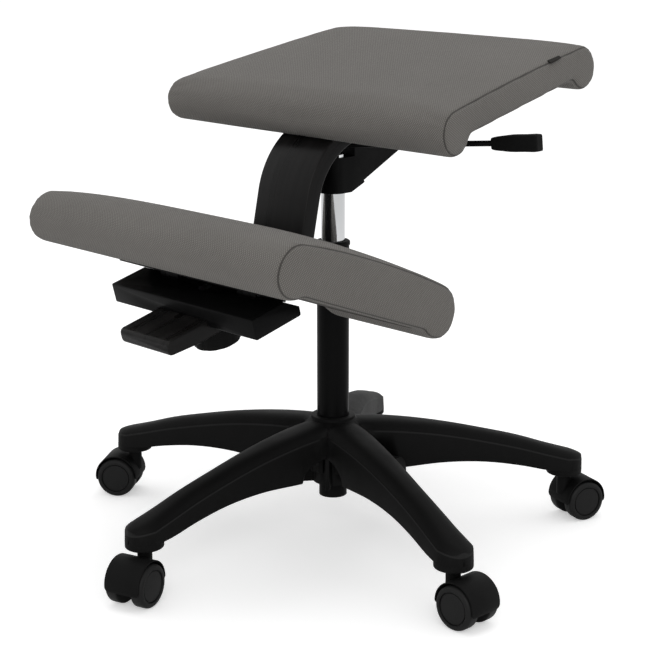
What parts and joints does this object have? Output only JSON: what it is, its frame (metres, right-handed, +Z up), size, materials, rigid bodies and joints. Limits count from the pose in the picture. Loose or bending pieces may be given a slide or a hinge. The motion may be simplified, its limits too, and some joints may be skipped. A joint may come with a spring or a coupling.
{
  "type": "kneeling chair",
  "caption": "Kneeling chair with a sloped seat, a tilting knee pad on a sliding carriage, a bentwood arm, a gas-sprung column and a wheeled star base.",
  "frame": {"origin": "middle of the bounding box of the whole chair, on the floor under the castors", "axes": "+Z up, the sitter faces -Y so the knee pad is on the -Y side, +X is the side with the height lever"},
  "size_m": [0.6574, 0.6352, 0.5975],
  "materials": {
    "black_nylon": "satin",
    "black_paint": "satin",
    "black_stained_wood": "satin lacquer",
    "plywood": "raw",
    "chrome": "polished",
    "bright_steel": "zinc plated",
    "grey_weave": "woven",
    "grey_underside_cloth": "felted",
    "dark_tread": "matt"
  },
  "bodies": {
    "base": {"star_base": "black_nylon", "column_tube": "black_paint", "guide_bush": "black_nylon", "castor_stem_1": "bright_steel", "castor_stem_2": "bright_steel", "castor_stem_3": "bright_steel", "castor_stem_4": "bright_steel", "castor_stem_5": "bright_steel"},
    "rod": {"piston_rod": "bright_steel", "thrust_bearing": "bright_steel", "rod_clip": "bright_steel"},
    "upper": {"gas_cylinder": "chrome", "column_bracket": "black_paint", "lever_pin": "bright_steel", "arm": "black_stained_wood", "arm_bolt_1": "bright_steel", "arm_bolt_2": "bright_steel", "seat_plate": "black_paint", "seat_board": "plywood", "seat_cushion": "grey_weave", "seat_bottom_cover": "grey_underside_cloth", "seat_screw_1": "bright_steel", "seat_screw_2": "bright_steel", "seat_screw_3": "bright_steel", "seat_screw_4": "bright_steel"},
    "valve": {"valve_pin": "bright_steel"},
    "lever": {"lever_rod": "black_paint", "lever_handle": "black_nylon"},
    "carriage": {"carriage_block": "black_paint", "clamp_bolt": "bright_steel", "tilt_pin_1": "bright_steel", "tilt_pin_2": "bright_steel"},
    "knob": {"clamp_knob": "black_nylon"},
    "knee": {"tilt_bracket": "black_paint", "knee_board": "plywood", "knee_cushion": "grey_weave", "knee_bottom_cover": "grey_underside_cloth", "knee_screw_1": "bright_steel", "knee_screw_2": "bright_steel"},
    "castor_1": {"castor_hood_1": "black_nylon", "castor_axle_1": "bright_steel"},
    "wheel_1_a": {"castor_wheel_1_a": "dark_tread"},
    "wheel_1_b": {"castor_wheel_1_b": "dark_tread"},
    "castor_2": {"castor_hood_2": "black_nylon", "castor_axle_2": "bright_steel"},
    "wheel_2_a": {"castor_wheel_2_a": "dark_tread"},
    "wheel_2_b": {"castor_wheel_2_b": "dark_tread"},
    "castor_3": {"castor_hood_3": "black_nylon", "castor_axle_3": "bright_steel"},
    "wheel_3_a": {"castor_wheel_3_a": "dark_tread"},
    "wheel_3_b": {"castor_wheel_3_b": "dark_tread"},
    "castor_4": {"castor_hood_4": "black_nylon", "castor_axle_4": "bright_steel"},
    "wheel_4_a": {"castor_wheel_4_a": "dark_tread"},
    "wheel_4_b": {"castor_wheel_4_b": "dark_tread"},
    "castor_5": {"castor_hood_5": "black_nylon", "castor_axle_5": "bright_steel"},
    "wheel_5_a": {"castor_wheel_5_a": "dark_tread"},
    "wheel_5_b": {"castor_wheel_5_b": "dark_tread"}
  },
  "joints": [
    {"name": "column_swivel", "type": "hinge", "parent": "base", "child": "rod", "pos_m": [0.00203, 0.02798, 0.06], "axis": [0, 0, 1], "continuous": true},
    {"name": "seat_lift", "type": "slide", "parent": "rod", "child": "upper", "axis": [0, 0, 1], "range_m": [-0.055, 0.075]},
    {"name": "lever_lift", "type": "hinge", "parent": "upper", "child": "lever", "pos_m": [0.01703, 0.03268, 0.4802], "axis": [0, -1, 0], "range_deg": [0, 4], "stiffness_Nm_per_rad": 3, "springref_deg": -3.44},
    {"name": "valve_press", "type": "slide", "parent": "upper", "child": "valve", "axis": [0, 0, 1], "range_m": [-0.0013, 0]},
    {"name": "carriage_slide", "type": "slide", "parent": "upper", "child": "carriage", "axis": [0, 0.9681, 0.2504], "range_m": [-0.04, 0.03]},
    {"name": "clamp_turn", "type": "hinge", "parent": "carriage", "child": "knob", "pos_m": [0.00203, -0.15851, 0.29706], "axis": [0, -0.2504, 0.9681], "range_deg": [0, 270]},
    {"name": "knee_tilt", "type": "hinge", "parent": "carriage", "child": "knee", "pos_m": [0.00203, -0.16202, 0.3445], "axis": [1, 0, 0], "range_deg": [0, 30]},
    {"name": "castor_swivel_1", "type": "hinge", "parent": "base", "child": "castor_1", "pos_m": [0.00203, -0.26502, 0.05], "axis": [0, 0, 1], "continuous": true},
    {"name": "wheel_spin_1_a", "type": "hinge", "parent": "castor_1", "child": "wheel_1_a", "pos_m": [0.0084, -0.28461, 0.025], "axis": [0.9511, 0.309, 0], "continuous": true},
    {"name": "wheel_spin_1_b", "type": "hinge", "parent": "castor_1", "child": "wheel_1_b", "pos_m": [0.0084, -0.28461, 0.025], "axis": [0.9511, 0.309, 0], "continuous": true},
    {"name": "castor_swivel_2", "type": "hinge", "parent": "base", "child": "castor_2", "pos_m": [0.28069, -0.06256, 0.05], "axis": [0, 0, 1], "continuous": true},
    {"name": "wheel_spin_2_a", "type": "hinge", "parent": "castor_2", "child": "wheel_2_a", "pos_m": [0.30129, -0.06256, 0.025], "axis": [0, 1, 0], "continuous": true},
    {"name": "wheel_spin_2_b", "type": "hinge", "parent": "castor_2", "child": "wheel_2_b", "pos_m": [0.30129, -0.06256, 0.025], "axis": [0, 1, 0], "continuous": true},
    {"name": "castor_swivel_3", "type": "hinge", "parent": "base", "child": "castor_3", "pos_m": [0.17425, 0.26502, 0.05], "axis": [0, 0, 1], "continuous": true},
    {"name": "wheel_spin_3_a", "type": "hinge", "parent": "castor_3", "child": "wheel_3_a", "pos_m": [0.18062, 0.28461, 0.025], "axis": [-0.9511, 0.309, 0], "continuous": true},
    {"name": "wheel_spin_3_b", "type": "hinge", "parent": "castor_3", "child": "wheel_3_b", "pos_m": [0.18062, 0.28461, 0.025], "axis": [-0.9511, 0.309, 0], "continuous": true},
    {"name": "castor_swivel_4", "type": "hinge", "parent": "base", "child": "castor_4", "pos_m": [-0.17019, 0.26502, 0.05], "axis": [0, 0, 1], "continuous": true},
    {"name": "wheel_spin_4_a", "type": "hinge", "parent": "castor_4", "child": "wheel_4_a", "pos_m": [-0.18686, 0.27713, 0.025], "axis": [-0.5878, -0.809, 0], "continuous": true},
    {"name": "wheel_spin_4_b", "type": "hinge", "parent": "castor_4", "child": "wheel_4_b", "pos_m": [-0.18686, 0.27713, 0.025], "axis": [-0.5878, -0.809, 0], "continuous": true},
    {"name": "castor_swivel_5", "type": "hinge", "parent": "base", "child": "castor_5", "pos_m": [-0.27663, -0.06256, 0.05], "axis": [0, 0, 1], "continuous": true},
    {"name": "wheel_spin_5_a", "type": "hinge", "parent": "castor_5", "child": "wheel_5_a", "pos_m": [-0.2933, -0.07467, 0.025], "axis": [0.5878, -0.809, 0], "continuous": true},
    {"name": "wheel_spin_5_b", "type": "hinge", "parent": "castor_5", "child": "wheel_5_b", "pos_m": [-0.2933, -0.07467, 0.025], "axis": [0.5878, -0.809, 0], "continuous": true}
  ],
  "couplings": [
    {"joint": "valve_press", "follows": "lever_lift", "m_per_rad": -0.015}
  ]
}
